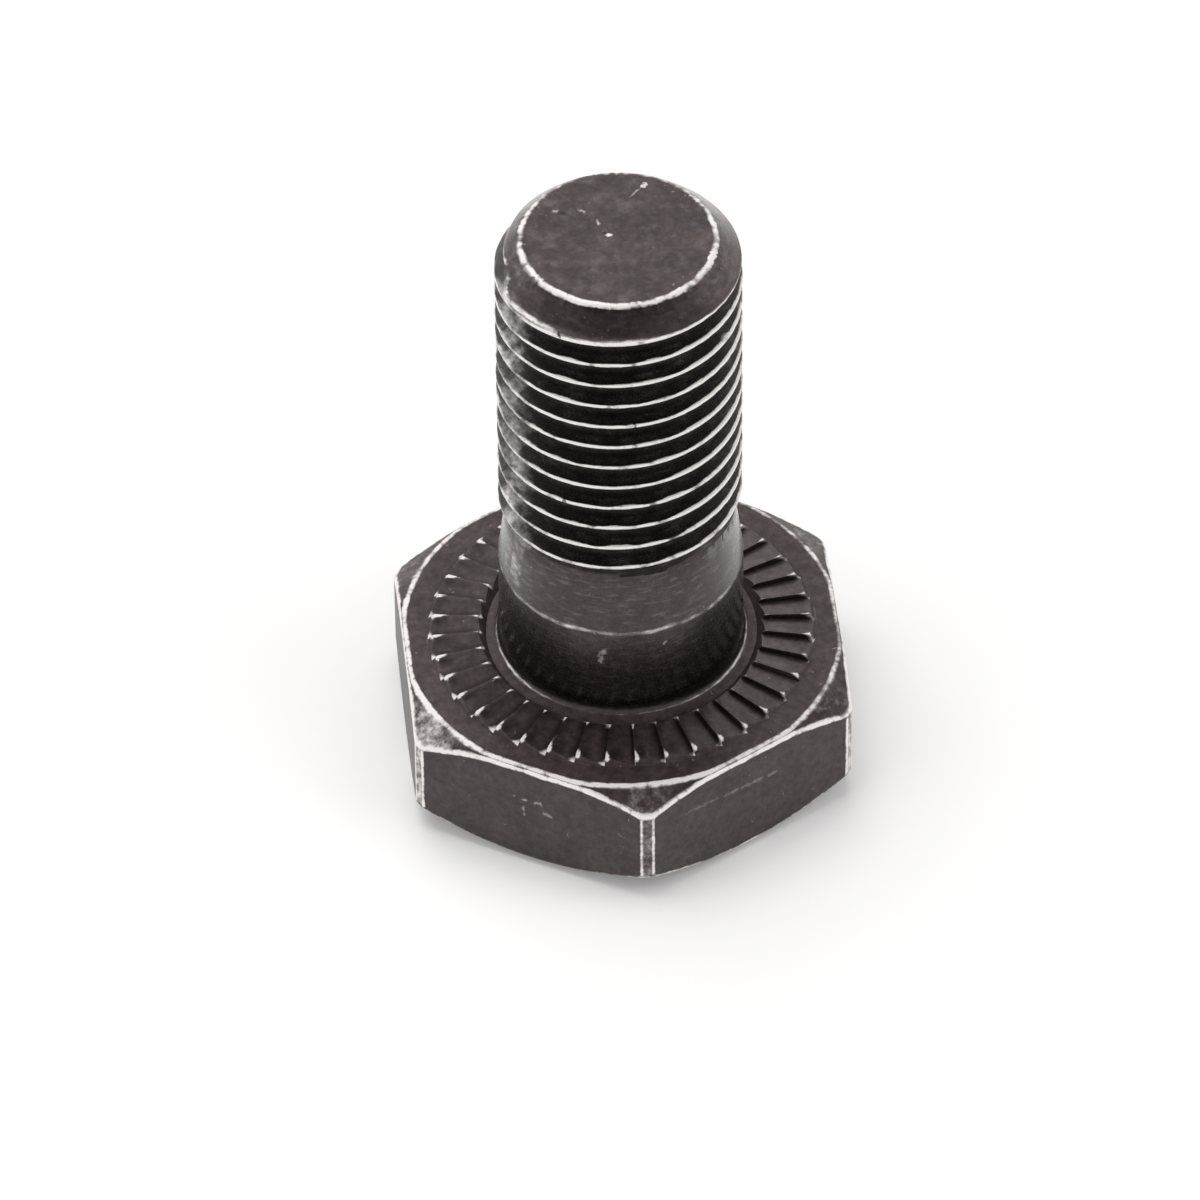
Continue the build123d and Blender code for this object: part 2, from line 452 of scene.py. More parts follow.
def thread_rows(s, angle):
    """The thread: rows that climb with the helix, so that each keeps its place on the thread form,
    held between the neck's top and the height where the tip's cone reaches the root. The crests
    are worn bright, unevenly along the thread, more on one side of the bolt and less on three. So
    is the edge where the tip's cone cuts the thread. The sides of the shank carry scuffs with a
    painted sheen, and painted shade darkens the flanks most and the rest as much as the plain
    shank, but not the tip's cone."""
    bottom = thread_start(s)
    top = s.head_height + s.bolt_length - s.tip_root_inset
    shares = np.array([0, 0.05, 0.068, 0.09, 0.13, 0.27, 0.4, 0.47])
    shares = np.concatenate([shares, 1 - shares[:0:-1]])
    turns = np.arange(math.ceil((top - bottom) / s.pitch) + 1)
    climb = (turns[:, None] + shares).ravel()[:, None]
    height = np.clip(bottom + s.pitch * (climb + angle / FULL_TURN - 1), bottom, top)
    radius, room = thread_radius(s, angle, height)
    below_crest = crest_radius(s) - radius
    off_crest = np.abs(climb - np.round(climb)) * s.pitch
    along = angle + FULL_TURN * np.round(climb)
    worn_depth, half_width, cut_width = 0.04 * MM, 0.09 * MM, 0.05 * MM
    uneven = 1.5 + 0.35 * ripple_along(along, 60, 260, seed=53)
    uneven = uneven + 1.5 * near_rubbed(s, angle, math.radians(125), 0.45)
    off_cone = np.clip(room / (0.03 * MM) + 0.5, 0, 1)
    on_crest = np.clip(uneven - below_crest / worn_depth, 0, 1) * off_cone
    on_crest = on_crest * np.clip(2.2 - off_crest / half_width, 0, 1)
    on_crest = on_crest * (1 - 0.18 * near_rubbed(s, angle, 1.4, 0.6))
    on_crest = on_crest * (1 - 0.45 * near_rubbed(s, angle, 0.0, 0.5))
    on_crest = on_crest * (1 - 0.5 * bell(turn_gap(angle, -0.05), 0.25))
    by_end = bell(turn_gap(angle, s.groove_end + 0.26), 0.3)
    cut_edge = 0.62 * bell(room, cut_width) + 0.5 * by_end * bell(room - 0.04 * MM, 0.1 * MM)
    lead_in = np.clip((height - bottom) / (0.9 * s.pitch), 0.25, 1)
    depth = np.clip(below_crest / (crest_radius(s) - root_radius(s)), 0, 1)
    flank = 1 - np.abs(2 * depth - 1)
    on_cone = np.clip(-room / cut_width, 0, 1)
    # Scuffs and a painted sheen on the sides of the shank, less on the tip's cone and in the flanks
    scuff_and_sheen_wear = scuff_and_sheen(s, angle) * (1 - 0.25 * on_cone - 0.2 * flank)
    worn = np.maximum(np.maximum(on_crest * lead_in, cut_edge), scuff_and_sheen_wear)
    # Painted shade: deepest in the flanks, fading out at the thread's start, never less than on the
    # plain shank and none on the tip's cone
    shade = 0.9 * flank * np.clip(room / (0.1 * MM), 0, 1)
    shade = np.maximum(shade * np.clip((height - bottom) / (0.35 * s.pitch), 0, 1), PAINTED_SHADE_SHANK)
    return rows_of(radius, height, worn, np.where(room < 0, 0, shade))


def tip_rows(s, angle):
    """The tip: the rest of its cone, the worn edge, which wavers, and the flat face to its middle."""
    top = s.head_height + s.bolt_length
    face = tip_radius(s)
    wander = 0.045 * MM * ripple(angle, 6, 55, seed=41) + 0.03 * MM * ripple(angle, 60, 130, seed=42)
    worn = rubbed_side(angle, s.rubbed_toward + math.radians(65), 0.35)
    worn = worn * patchy(angle, 5, 70, 43, 1.0, 1.6)
    edge = rounded_path(
        [
            (root_radius(s) + 0 * angle, top - s.tip_root_inset, 0, 0),
            (face - np.abs(wander) / 2, top + 0 * angle, s.tip_edge, np.clip(worn, 0, 1)),
            (face * 0.6, top + 0 * angle, 0, 0),
        ],
        steps=5,
    )
    # Scuffs and a painted sheen on the sides of the cone's first row
    edge[0, :, 2] = 0.7 * scuff_and_sheen(s, angle)
    shares = np.array([0.8, 0.5, 0.2, 0.0])[:, None]
    return np.concatenate([edge, rows_of(face * shares + 0 * angle, top + 0 * angle)])


def bolt_grid(s):
    """All rows of the bolt, as points by rows by columns, with their wear and their painted shade."""
    angle = column_angles(s)
    rows = np.concatenate(
        [
            head_rows(s, angle),
            teeth_rows(s, angle),
            body_rows(s, angle),
            thread_rows(s, angle),
            tip_rows(s, angle),
        ]
    )
    radius, height = rows[..., 0], rows[..., 1]
    points = np.stack([radius * np.cos(angle), radius * np.sin(angle), height], axis=-1)
    return points, rows[..., 2], rows[..., 3]


def closed_surface(name, points, attributes):
    """A mesh of four-sided faces from a grid of points, rows upwards and columns anticlockwise, with
    its seam, its poles and its folded rows welded, and one number a point for each attribute."""
    row_count, column_count = points.shape[:2]
    index = np.arange(row_count * column_count).reshape(row_count, column_count)
    faces = np.stack(
        [index[:-1, :-1], index[:-1, 1:], index[1:, 1:], index[1:, :-1]], axis=-1
    ).reshape(-1, 4)
    mesh = bpy.data.meshes.new(name)
    mesh.from_pydata(points.reshape(-1, 3), [], faces)
    for label, values in attributes.items():
        layer = mesh.attributes.new(label, "FLOAT", "POINT")
        layer.data.foreach_set("value", np.ascontiguousarray(values, np.float32).ravel())
    piece = bpy.data.objects.new(name, mesh)
    bpy.context.scene.collection.objects.link(piece)
    weld(mesh)
    mesh.shade_smooth()
    mesh.set_sharp_from_angle(angle=SHARP_BEND)
    return piece


def weld(mesh):
    """Merges the points that lie on one another and turns the faces outwards."""
    work = bmesh.new()
    work.from_mesh(mesh)
    bmesh.ops.remove_doubles(work, verts=work.verts, dist=WELD)
    bmesh.ops.recalc_face_normals(work, faces=work.faces)
    work.to_mesh(mesh)
    work.free()


# Shader node groups and materials


def add_node(tree, kind, inputs=None, **settings):
    """A node of that kind, with its settings and the values or links of its inputs."""
    made = tree.nodes.new(kind)
    for key, value in settings.items():
        setattr(made, key, value)
    for key, value in (inputs or {}).items():
        if isinstance(value, bpy.types.NodeSocket):
            tree.links.new(value, made.inputs[key])
        else:
            made.inputs[key].default_value = value
    return made


def new_group(name, inputs, outputs):
    """An empty node group with those sockets, and its input and output nodes."""
    group = bpy.data.node_groups.new(name, "ShaderNodeTree")
    for label, kind in inputs:
        group.interface.new_socket(label, in_out="INPUT", socket_type=kind)
    for label, kind in outputs:
        group.interface.new_socket(label, in_out="OUTPUT", socket_type=kind)
    return group, group.nodes.new("NodeGroupInput"), group.nodes.new("NodeGroupOutput")


def math_node(tree, operation, a, b=0.0, clamp=False):
    """The result of one sum on two numbers or sockets."""
    made = add_node(tree, "ShaderNodeMath", {0: a, 1: b}, operation=operation, use_clamp=clamp)
    return made.outputs[0]


def ramp_node(tree, value, low, high, start=0.0, end=1.0):
    """A smooth change from start to end while the value goes from low to high."""
    made = add_node(
        tree,
        "ShaderNodeMapRange",
        {"Value": value, "From Min": low, "From Max": high, "To Min": start, "To Max": end},
        interpolation_type="SMOOTHSTEP",
    )
    return made.outputs["Result"]


def vector_node(tree, operation, a, b):
    """The result of one sum on two vectors: a vector, or for a dot product or distance a number."""
    made = add_node(tree, "ShaderNodeVectorMath", {0: a, 1: b}, operation=operation)
    return made.outputs["Value" if operation in ("DOT_PRODUCT", "DISTANCE") else "Vector"]


def scaled(tree, vector, scale):
    """A vector or colour times a number."""
    made = add_node(tree, "ShaderNodeVectorMath", {0: vector, "Scale": scale}, operation="SCALE")
    return made.outputs["Vector"]


def mix_color(tree, share, first, second):
    """The first colour turning into the second as the share goes from nothing to one."""
    made = add_node(tree, "ShaderNodeMix", {0: share, 6: first, 7: second}, data_type="RGBA")
    return made.outputs[2]


def mix_number(tree, share, first, second):
    """The first number turning into the second as the share goes from nothing to one."""
    return add_node(tree, "ShaderNodeMix", {0: share, 2: first, 3: second}).outputs[0]


def noise_node(tree, vector, scale, detail, rough):
    """A cloud of noise with that many waves a metre."""
    made = add_node(
        tree,
        "ShaderNodeTexNoise",
        {"Vector": vector, "Scale": scale, "Detail": detail, "Roughness": rough},
    )
    return made.outputs["Fac"]


FLOAT = "NodeSocketFloat"
COLOR = "NodeSocketColor"
VECTOR = "NodeSocketVector"


def edge_wear_group():
    """A mask of where the oxide has rubbed off: the wear painted on the mesh, thinned in broad
    patches and eaten into by fine noise, so that the bright edge is broken and uneven."""
    group, source, sink = new_group(
        "Edge wear",
        [("Vector", VECTOR), ("Wear", FLOAT), ("Scale", FLOAT), ("Bite", FLOAT), ("Patches", FLOAT)],
        [("Mask", FLOAT)],
    )
    vector, scale = source.outputs["Vector"], source.outputs["Scale"]
    fine = noise_node(group, vector, scale, detail=4.0, rough=0.65)
    coarse = math_node(group, "MULTIPLY", scale, 0.3)
    broad = noise_node(group, vector, coarse, detail=2.0, rough=0.5)
    thin = math_node(group, "MULTIPLY", ramp_node(group, broad, 0.62, 0.38), source.outputs["Patches"])
    wear = math_node(group, "MULTIPLY", source.outputs["Wear"], math_node(group, "SUBTRACT", 1.0, thin))
    bite = math_node(group, "MULTIPLY", source.outputs["Bite"], ramp_node(group, wear, 0.0, 1.0))
    bitten = math_node(group, "MULTIPLY", math_node(group, "SUBTRACT", fine, 0.5), bite)
    mask = ramp_node(group, math_node(group, "ADD", wear, bitten), 0.25, 0.7)
    group.links.new(mask, sink.inputs["Mask"])
    return group


def oxide_group():
    """The colour of black oxide: two near tones in soft clouds, a fine mottle and rare pale specks."""
    group, source, sink = new_group(
        "Black oxide",
        [("Vector", VECTOR), ("Tone", COLOR), ("Cloud", COLOR), ("Speck", COLOR)],
        [("Color", COLOR)],
    )
    vector = source.outputs["Vector"]
    cloud = ramp_node(group, noise_node(group, vector, 620.0, detail=5.0, rough=0.7), 0.36, 0.66)
    tone = mix_color(group, cloud, source.outputs["Tone"], source.outputs["Cloud"])
    fine = noise_node(group, vector, 2900.0, detail=4.0, rough=0.7)
    mottle = ramp_node(group, fine, 0.3, 0.7, start=0.68, end=1.34)
    mottled = scaled(group, tone, mottle)
    specks = ramp_node(group, noise_node(group, vector, 5200.0, detail=2.0, rough=0.5), 0.66, 0.76)
    sparse = ramp_node(group, noise_node(group, vector, 900.0, detail=2.0, rough=0.5), 0.5, 0.66)
    shown = math_node(group, "MULTIPLY", specks, sparse)
    group.links.new(mix_color(group, shown, mottled, source.outputs["Speck"]), sink.inputs["Color"])
    return group


def mark_group():
    """A mask of one small mark: how near a point lies to a straight stroke from Start along Span,
    made ragged by the noise Rag. A dot has a very short span."""
    group, source, sink = new_group(
        "Mark",
        [("Vector", VECTOR), ("Start", VECTOR), ("Span", VECTOR), ("Width", FLOAT), ("Rag", FLOAT)],
        [("Mask", FLOAT)],
    )
    span = source.outputs["Span"]
    offset = vector_node(group, "SUBTRACT", source.outputs["Vector"], source.outputs["Start"])
    ahead = vector_node(group, "DOT_PRODUCT", offset, span)
    whole = vector_node(group, "DOT_PRODUCT", span, span)
    share = math_node(group, "DIVIDE", ahead, whole, clamp=True)
    apart = vector_node(group, "DISTANCE", offset, scaled(group, span, share))
    away = math_node(group, "DIVIDE", apart, source.outputs["Width"])
    rag = math_node(group, "MULTIPLY", math_node(group, "SUBTRACT", source.outputs["Rag"], 0.5), 5.0)
    ragged = math_node(group, "ADD", away, rag)
    group.links.new(ramp_node(group, ragged, 1.2, 0.0), sink.inputs["Mask"])
    return group


def around(angle, radius, height):
    """The point at an angle in degrees, a distance from the axis and a height in millimetres."""
    a = math.radians(angle)
    return Vector((radius * math.cos(a), radius * math.sin(a), height)) * MM


def marks_mask(tree, place, rag, marks):
    """The strongest of all the marks at a point."""
    group = bpy.data.node_groups.get("Mark") or mark_group()
    mask = 0.0
    for start, end, width, strength in marks:
        a, b = around(*start), around(*end)
        made = add_node(
            tree,
            "ShaderNodeGroup",
            {
                "Vector": place,
                "Start": a,
                "Span": b - a + Vector((0, 0, 1e-6)),
                "Width": width * MM,
                "Rag": rag,
            },
            node_tree=group,
        )
        shown = math_node(tree, "MULTIPLY", made.outputs["Mask"], strength)
        mask = math_node(tree, "MAXIMUM", shown, mask)
    return mask


# Marks that can be told one by one: where each begins and ends, as an angle from +X in degrees, a
# distance from the axis and a height in millimetres, then its half width and its strength.
BARE_MARKS = (
    # on the tip's face
    ((142.2, 0.39, 25.74), (142.2, 0.41, 25.74), 0.11, 1.0),
    ((142.0, 2.85, 25.74), (141.0, 2.8, 25.74), 0.09, 0.5),
    ((127.1, 2.21, 25.74), (124.0, 2.0, 25.74), 0.07, 0.4),
    ((120.9, 1.31, 25.74), (126.0, 1.1, 25.74), 0.08, 0.6),
    ((64.9, 3.25, 25.74), (66.5, 3.1, 25.74), 0.1, 0.8),
    ((66.5, 3.1, 25.74), (72.9, 2.38, 25.74), 0.04, 0.35),
    # on the crests
    ((-107.0, 4.72, 19.3), (-104.0, 4.72, 19.62), 0.07, 0.9),
    ((-88.6, 4.66, 18.68), (-88.0, 4.66, 18.72), 0.08, 0.8),
    # on the body
    ((-105.5, 4.76, 8.02), (-103.6, 4.76, 8.55), 0.12, 0.35),
    ((-75.5, 4.76, 8.65), (-75.0, 4.76, 8.75), 0.07, 0.3),
    # on the two flats in front
    ((-122.1, 8.56, 3.42), (-121.9, 8.56, 3.4), 0.1, 0.4),
    ((-122.2, 8.56, 2.95), (-122.1, 8.56, 2.6), 0.08, 0.25),
    ((-118.9, 8.56, 3.42), (-117.5, 8.56, 3.44), 0.09, 0.3),
    ((-116.4, 8.58, 3.0), (-114.5, 8.58, 2.92), 0.09, 0.25),
    ((-83.0, 9.4, 3.7), (-71.0, 8.72, 3.62), 0.09, 0.1),
    ((-68.0, 8.64, 3.58), (-52.0, 8.62, 3.4), 0.1, 0.14),
)
DARK_MARKS = (
    ((-88.3, 4.72, 20.22), (-88.3, 4.72, 20.46), 0.12, 0.9),
    ((-88.3, 4.72, 19.18), (-88.3, 4.72, 19.42), 0.1, 0.8),
    ((-124.6, 4.72, 24.85), (-122.6, 4.72, 24.45), 0.07, 1.0),
    ((-122.6, 4.72, 16.1), (-122.0, 4.72, 16.3), 0.12, 0.9),
    ((142.2, 0.56, 25.74), (141.0, 0.62, 25.74), 0.07, 0.8),
    ((141.0, 2.6, 25.74), (140.0, 2.5, 25.74), 0.09, 0.7),
)


def steel_material(finish, head_height):
    """Black oxide steel: a dark metal whose colour, roughness and relief change with the oxide's
    clouds, turned darker by the painted shade that the mesh carries, and bare bright steel on the
    worn edges, which in places carry a painted highlight and a painted sheen. The head is duller
    than the shank, where the wear is drawn out round the axis and fine streaks show how it was
    turned. Both follow the bolt's own coordinates."""
    material = bpy.data.materials.new("black_oxide_steel")
    material.use_nodes = True
    tree = material.node_tree
    tree.nodes.clear()
    place = add_node(tree, "ShaderNodeTexCoord").outputs["Object"]
    worn = add_node(tree, "ShaderNodeAttribute", attribute_name="worn").outputs["Fac"]
    painted_shade = add_node(tree, "ShaderNodeAttribute", attribute_name="painted_shade").outputs["Fac"]
    height = add_node(tree, "ShaderNodeSeparateXYZ", {0: place}).outputs["Z"]
    on_shank = ramp_node(tree, height, head_height, head_height + 0.6 * MM)
    narrow = mix_number(tree, on_shank, 1.0, 0.45)
    drawn = add_node(tree, "ShaderNodeCombineXYZ", {"X": narrow, "Y": narrow, "Z": 1.0}).outputs[0]
    wear = add_node(
        tree,
        "ShaderNodeGroup",
        {
            "Vector": vector_node(tree, "MULTIPLY", place, drawn),
            "Wear": worn,
            "Scale": 3600.0,
            "Bite": 1.9,
            "Patches": 0.2,
        },
        node_tree=edge_wear_group(),
    )
    oxide = add_node(
        tree,
        "ShaderNodeGroup",
        {
            "Vector": place,
            "Tone": (*finish.oxide, 1),
            "Cloud": (*finish.oxide_cloud, 1),
            "Speck": (*finish.speck, 1),
        },
        node_tree=oxide_group(),
    )
    rag = noise_node(tree, place, 5000.0, detail=3.0, rough=0.6)
    bare_marks = marks_mask(tree, place, rag, BARE_MARKS)
    dark_marks = marks_mask(tree, place, rag, DARK_MARKS)
    bright = math_node(tree, "MAXIMUM", wear.outputs["Mask"], bare_marks)
    bright = math_node(tree, "MULTIPLY", bright, math_node(tree, "SUBTRACT", 1.0, dark_marks))
    # Painted shade from the mesh and the dark marks turn the oxide towards the shade tone
    shade_and_dark_marks = math_node(tree, "MAXIMUM", painted_shade, dark_marks)
    oxide_with_shade = mix_color(tree, shade_and_dark_marks, oxide.outputs["Color"], (*finish.shade_tone, 1))
    grain = noise_node(tree, place, 9000.0, detail=3.0, rough=0.6)
    round_axis = vector_node(tree, "MULTIPLY", place, (0.2, 0.2, 1.0))
    turned = noise_node(tree, round_axis, 7000.0, detail=3.0, rough=0.6)
    faint = ramp_node(tree, turned, 0.5, 0.72, start=0.0, end=0.06)
    streaks = math_node(tree, "MULTIPLY", faint, on_shank)
    streaked = mix_color(tree, streaks, oxide_with_shade, (*finish.bare_steel, 1))
    colour = mix_color(tree, bright, streaked, (*finish.bare_steel, 1))
    oxide_rough = mix_number(tree, on_shank, finish.head_roughness, finish.shank_roughness)
    oil = mix_number(tree, on_shank, finish.head_oil, finish.shank_oil)
    change = ramp_node(tree, grain, 0.3, 0.7, start=-0.04, end=0.05)
    rough = mix_number(tree, bright, math_node(tree, "ADD", oxide_rough, change), 0.5)
    gleam = mix_number(tree, on_shank, finish.head_gleam, 1.0)
    metal = mix_number(tree, bright, gleam, finish.bare_gleam)
    relief = math_node(tree, "ADD", grain, math_node(tree, "MULTIPLY", bright, -0.6))
    bump = add_node(tree, "ShaderNodeBump", {"Height": relief, "Strength": 0.12, "Distance": 0.00001})
    shader = add_node(
        tree,
        "ShaderNodeBsdfPrincipled",
        {
            "Base Color": colour,
            "Metallic": metal,
            "Roughness": rough,
            "Coat Weight": oil,
            "Coat Roughness": 0.22,
            "Normal": bump.outputs["Normal"],
        },
    )
    add_node(tree, "ShaderNodeOutputMaterial", {"Surface": shader.outputs["BSDF"]})
    return material


def floor_material(stage):
    """A matt, pale floor that keeps its shadow. The camera and reflections see part of it as plain
    white, as they see the surroundings."""
    material = bpy.data.materials.new("floor")
    material.use_nodes = True
    tree = material.node_tree
    shader = tree.nodes["Principled BSDF"]
    shader.inputs["Base Color"].default_value = (*stage.floor_color, 1)
    shader.inputs["Roughness"].default_value = 0.9
    shader.inputs["Specular IOR Level"].default_value = 0.1
    white = add_node(tree, "ShaderNodeEmission", {"Color": (1, 1, 1, 1), "Strength": 1.0})
    share = math_node(tree, "MULTIPLY", seen_directly(tree), stage.floor_white)
    mix = add_node(
        tree, "ShaderNodeMixShader", {0: share, 1: shader.outputs["BSDF"], 2: white.outputs["Emission"]}
    )
    tree.links.new(mix.outputs["Shader"], tree.nodes["Material Output"].inputs["Surface"])
    return material


def seen_directly(tree):
    """One for rays from the camera and for reflections and refractions, nothing for light."""
    path = add_node(tree, "ShaderNodeLightPath").outputs
    seen = math_node(tree, "MAXIMUM", path["Is Camera Ray"], path["Is Glossy Ray"])
    return math_node(tree, "MAXIMUM", seen, path["Is Transmission Ray"])


# Sizes, colours and the stage's settings


def length(label, about, millimetres):
    """A length with its name, description and default."""
    return bpy.props.FloatProperty(
        name=label, description=about, default=millimetres * MM, unit="LENGTH", precision=5
    )


def degrees(label, about, value):
    """An angle with its name, description and default."""
    return bpy.props.FloatProperty(
        name=label, description=about, default=math.radians(value), subtype="ANGLE"
    )


def fraction(label, about, value):
    """A number from nothing to one with its name, description and default."""
    return bpy.props.FloatProperty(
        name=label, description=about, default=value, min=0, max=1, subtype="FACTOR"
    )


def tint(label, about, value):
    """A colour with its name, description and default."""
    return bpy.props.FloatVectorProperty(
        name=label, description=about, default=value, subtype="COLOR", min=0, max=1, size=3
    )


class BoltSizes(bpy.types.PropertyGroup):
    """The bolt's sizes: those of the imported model, and those of its worn edges."""

    across_flats: length("Across flats", "Width of the hexagon across its flats", 17.1)
    corner_strip: length("Corner strip", "Width of the narrow strip along each corner", 0.46)
    head_height: length("Head height", "From the end face to the bearing face", 5.1)
    end_circle_inset: length("End circle inset", "How far the end circle lies inside the flats", 0.45)
    end_chamfer: degrees("End chamfer", "Slope of the cone at the end of the head", 34)
    rim_circle_overhang: length("Rim overhang", "How far the rim circle lies outside the flats", 0.05)
    rim_chamfer: degrees("Rim chamfer", "Slope of the cone at the rim of the bearing face", 30)
    nominal_diameter: length("Nominal diameter", "Diameter of the plain body", 9.525)
    pitch: length("Pitch", "Climb of the thread in one turn", 25.4 / 24)
    crest_clearance: length("Crest clearance", "How far the crests lie inside the body", 0.04)
    body_length: length("Body length", "From the bearing face to the neck", 4.4)
    neck_length: length("Neck length", "From the body to the thread", 2.7)
    bolt_length: length("Bolt length", "From the bearing face to the tip", 20.64)
    underhead_fillet: length("Fillet", "Radius of the fillet under the head", 0.5)
    tooth_count: bpy.props.IntProperty(
        name="Teeth", description="Number of ratchet teeth", default=40, min=3
    )
    tooth_height: length("Tooth height", "How high the teeth stand over the rim", 0.25)
    tooth_foot_rise: length("Foot rise", "How high the foot of a ramp lies over the rim", 0.02)
    tooth_ring_angle: degrees("Ring angle", "Slope at which the teeth climb towards the shank", 4.5)
    tooth_phase: degrees("Tooth phase", "Angle of the first wall from +X", 7.2)
    rim_width: length("Rim width", "Width of the plain rim outside the teeth", 1.0)
    fillet_gap: length("Fillet gap", "Level step between the teeth and the fillet", 0.04)
    tip_root_inset: length("Tip inset", "How far the tip face lies inside the roots", 0.32)
    tip_edge: length("Tip edge", "How far the worn edge of the tip reaches to each side", 0.12)
    groove_end: degrees("Groove end", "Angle from +X at which the thread's last groove ends", 205)
    groove_fade: degrees("Groove fade", "Angle over which the last groove grows shallow", 25)
    rubbed_toward: degrees("Rubbed toward", "Angle from +X of the side that has rubbed most", -160)


class BoltFinish(bpy.types.PropertyGroup):
    """The colours of the steel, where it is black, rubbed and bare, and the tone of its painted shade.
    """

    oxide: tint("Oxide", "Main tone of the black oxide", (0.063, 0.045, 0.046))
    oxide_cloud: tint("Oxide cloud", "Second tone of the black oxide", (0.082, 0.063, 0.061))
    # The tone that painted shade turns the oxide towards
    shade_tone: tint("Hollow", "Oxide in hidden corners", (0.013, 0.008, 0.01))
    speck: tint("Speck", "Small rubbed specks", (0.3, 0.27, 0.26))
    bare_steel: tint("Bare steel", "Steel on worn edges", (0.9, 0.86, 0.84))
    bare_gleam: fraction("Bare gleam", "How metallic the scratched bare steel looks", 0.4)
    head_gleam: fraction("Head gleam", "How metallic the oxide on the head looks", 0.55)
    head_oil: fraction("Head oil", "Weight of the thin film of oil on the head", 0.15)
    shank_oil: fraction("Shank oil", "Weight of the thin film of oil on the shank", 0.6)
    head_roughness: fraction("Head roughness", "Roughness of the oxide on the head", 0.46)
    shank_roughness: fraction("Shank roughness", "Roughness of the oxide on the shank", 0.27)


class BoltStage(bpy.types.PropertyGroup):
    """The floor, the light and the camera."""

    floor_color: tint("Floor", "Colour of the floor", (0.94, 0.93, 0.925))
    floor_white: fraction("Floor white", "How much of the floor is seen as plain white", 0.15)
    sky: fraction("Sky", "Strength of the even light from all round", 0.5)
    ceiling: fraction("Ceiling", "How bright the ceiling is in reflections", 0.06)
    window_azimuth: degrees("Window azimuth", "Angle from +X of the window at the back", 98.5)
    window_elevation: degrees("Window elevation", "How high the window at the back stands", 33.8)
    lens: bpy.props.FloatProperty(
        name="Lens",
        description="Focal length on a sensor 36 mm wide",
        default=312.68,
        subtype="DISTANCE_CAMERA",
    )
    distance: length("Distance", "From the camera to the point that it is aimed at", 406.5558)
    elevation: degrees("Elevation", "How far the camera looks down", 44.3253)
    azimuth: degrees("Azimuth", "How far the camera is turned about the bolt", -5.34)
    roll: degrees("Roll", "How far the camera leans", -0.6453)
    aim_aside: length("Aim aside", "How far the aim lies to the right of the axis", -0.8248)
    aim_height: length("Aim height", "Height of the aim over the floor", 6.6935)


# Operators


class MESH_OT_ring_gear_bolt(bpy.types.Operator):
    """Builds the bolt with its hexagon, ratchet teeth, neck and thread in place of the plain one"""

    bl_idname = "mesh.ring_gear_bolt"
    bl_label = "Ring gear bolt"

    def execute(self, context):
        points, worn, painted_shade = bolt_grid(context.scene.bolt_sizes)
        piece = closed_surface("ring_gear_bolt", points, {"worn": worn, "painted_shade": painted_shade})
        steel = steel_material(context.scene.bolt_finish, context.scene.bolt_sizes.head_height)
        piece.data.materials.append(steel)
        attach(piece, "root")
        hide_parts("bolt")
        return {"FINISHED"}


class SCENE_OT_bolt_stage(bpy.types.Operator):
    """Sets the pale floor, the soft lights, the white surroundings and the camera"""

    bl_idname = "scene.bolt_stage"
    bl_label = "Bolt stage"

    def execute(self, context):
        stage = context.scene.bolt_stage
        set_floor(context, stage)
        set_world(context, stage)
        set_lights(context)
        set_camera(context, stage)
        context.scene.view_settings.view_transform = "Standard"
        return {"FINISHED"}


def set_floor(context, stage):
    """A level square, six metres wide, that the bolt stands on."""
    half = 3.0
    corners = np.array([(-half, -half, 0), (half, -half, 0), (half, half, 0), (-half, half, 0)])
    mesh = bpy.data.meshes.new("floor")
    mesh.from_pydata(corners, [], [(0, 1, 2, 3)])
    floor = bpy.data.objects.new("floor", mesh)
    context.scene.collection.objects.link(floor)
    mesh.materials.append(floor_material(stage))


def aimed(azimuth, elevation):
    """The direction with that azimuth from +X and that elevation."""
    flat = math.cos(elevation)
    return Vector((flat * math.cos(azimuth), flat * math.sin(azimuth), math.sin(elevation)))


def set_world(context, stage):
    """White all round for the camera, and the sky's own strength as light. Reflections see a white
    horizon that darkens towards a dark ceiling, and a white window in it at the back."""
    world = bpy.data.worlds.new("white")
    context.scene.world = world
    world.use_nodes = True
    tree = world.node_tree
    toward = add_node(tree, "ShaderNodeTexCoord").outputs["Generated"]
    rise = add_node(tree, "ShaderNodeSeparateXYZ", {0: toward}).outputs["Z"]
    ceiling = add_node(tree, "ShaderNodeValToRGB", {"Fac": rise})
    stops = ceiling.color_ramp.elements
    horizon_top, ceiling_start = math.radians(24), math.radians(62)
    stops[0].position, stops[0].color = math.sin(horizon_top), (1, 1, 1, 1)
    stops[1].position, stops[1].color = math.sin(ceiling_start), (*[stage.ceiling] * 3, 1)
    # Between the two, how bright reflections are at each elevation in degrees
    for elevation, level in ((33, 0.55), (44, 0.33), (50, 0.14)):
        stop = stops.new(math.sin(math.radians(elevation)))
        stop.color = (level, level, level, 1)
    window_middle = aimed(stage.window_azimuth, stage.window_elevation)
    nearness = vector_node(tree, "DOT_PRODUCT", toward, window_middle)
    window_edge, window_full = math.radians(52), math.radians(25)
    window = ramp_node(tree, nearness, math.cos(window_edge), math.cos(window_full))
    reflected = math_node(tree, "MAXIMUM", ceiling.outputs["Color"], window)
    glossy = add_node(tree, "ShaderNodeLightPath").outputs["Is Glossy Ray"]
    plain = mix_number(tree, seen_directly(tree), stage.sky, 1.0)
    strength = mix_number(tree, glossy, plain, reflected)
    background = tree.nodes["Background"]
    background.inputs["Color"].default_value = (1, 1, 1, 1)
    tree.links.new(strength, background.inputs["Strength"])


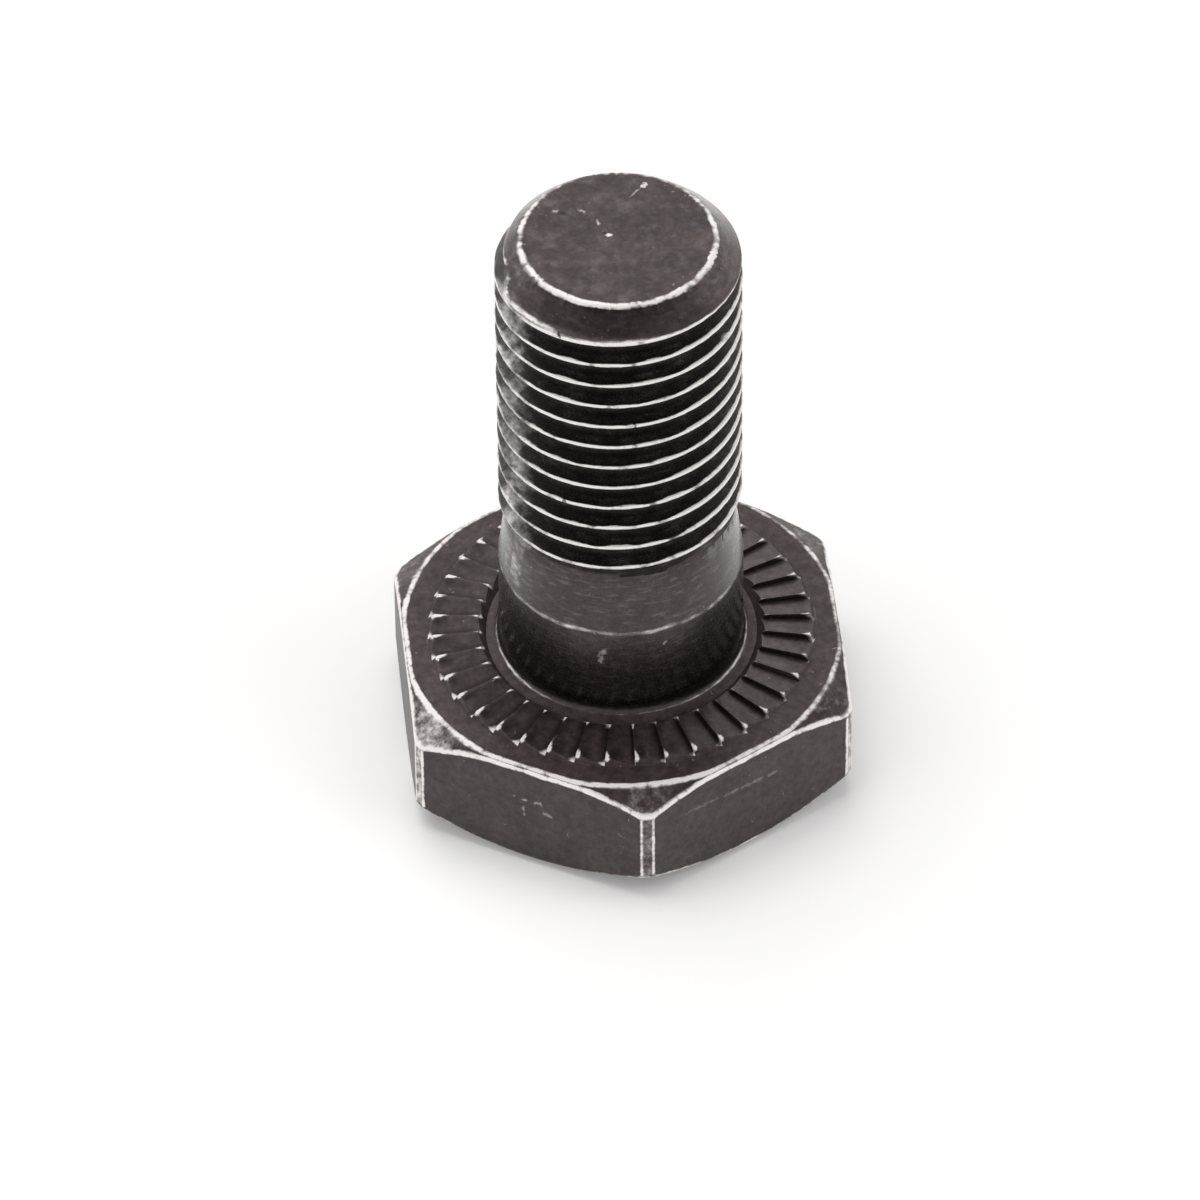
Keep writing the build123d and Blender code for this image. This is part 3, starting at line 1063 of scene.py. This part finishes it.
def set_lights(context):
    """Three soft boxes: a large one at the back and smaller ones on the left and the right. Each has
    its azimuth and elevation in degrees, then its distance, side and watts. Reflections see the
    world and not the boxes."""
    boxes = (
        ("back_box", 125, 74, 0.6, 0.45, 2.06),
        ("left_box", 195, 45, 0.45, 0.3, 0.3),
        ("right_box", -20, 48, 0.5, 0.3, 0.45),
    )
    for name, azimuth, elevation, far, side, watts in boxes:
        lamp = bpy.data.lights.new(name, "AREA")
        lamp.shape = "SQUARE"
        lamp.size = side
        lamp.energy = watts
        box = bpy.data.objects.new(name, lamp)
        away = aimed(math.radians(azimuth), math.radians(elevation))
        box.location = away * far
        box.rotation_euler = away.to_track_quat("Z", "Y").to_euler()
        box.visible_glossy = False
        context.scene.collection.objects.link(box)


def set_camera(context, stage):
    """A long lens that looks down at the bolt, leaning a little, as the photograph was taken."""
    down = stage.elevation
    ahead = Vector((0, math.cos(down), -math.sin(down)))
    right = Vector((1, 0, 0))
    up = right.cross(ahead)
    c, s = math.cos(stage.roll), math.sin(stage.roll)
    across = right * c + up * s
    upward = up * c - right * s
    aim = Vector((stage.aim_aside, 0, stage.aim_height))
    turn = Matrix.Rotation(stage.azimuth, 4, "Z")
    pose = Matrix((across, upward, -ahead)).transposed().to_4x4()
    pose.translation = aim - ahead * stage.distance
    data = bpy.data.cameras.new("camera")
    data.sensor_width = 36
    data.lens = stage.lens
    data.clip_start, data.clip_end = 0.01, 20
    camera = bpy.data.objects.new("camera", data)
    camera.matrix_world = turn @ pose
    context.scene.collection.objects.link(camera)
    context.scene.camera = camera


class VIEW3D_PT_ring_gear_bolt(bpy.types.Panel):
    """Lists the bolt's sizes, its colours, the stage's settings and the operators"""

    bl_label = "Ring Gear Bolt"
    bl_space_type = "VIEW_3D"
    bl_region_type = "UI"
    bl_category = "Bolt"

    def draw(self, context):
        layout = self.layout
        scene = context.scene
        for title, group in (
            ("Sizes", scene.bolt_sizes),
            ("Finish", scene.bolt_finish),
            ("Stage", scene.bolt_stage),
        ):
            box = layout.box()
            box.label(text=title)
            for key in group.__annotations__:
                box.prop(group, key)
        layout.operator(MESH_OT_ring_gear_bolt.bl_idname)
        layout.operator(SCENE_OT_bolt_stage.bl_idname)


CLASSES = (
    BoltSizes,
    BoltFinish,
    BoltStage,
    MESH_OT_ring_gear_bolt,
    SCENE_OT_bolt_stage,
    VIEW3D_PT_ring_gear_bolt,
)


def register():
    """Registers the classes and hangs the settings on the scene."""
    for made in CLASSES:
        bpy.utils.register_class(made)
    bpy.types.Scene.bolt_sizes = bpy.props.PointerProperty(type=BoltSizes)
    bpy.types.Scene.bolt_finish = bpy.props.PointerProperty(type=BoltFinish)
    bpy.types.Scene.bolt_stage = bpy.props.PointerProperty(type=BoltStage)


def unregister():
    """Takes the settings off the scene and unregisters the classes."""
    del bpy.types.Scene.bolt_stage
    del bpy.types.Scene.bolt_finish
    del bpy.types.Scene.bolt_sizes
    for made in reversed(CLASSES):
        bpy.utils.unregister_class(made)


def main():
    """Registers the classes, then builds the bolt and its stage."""
    register()
    bpy.ops.mesh.ring_gear_bolt()
    bpy.ops.scene.bolt_stage()


if __name__ == "__main__":
    main()
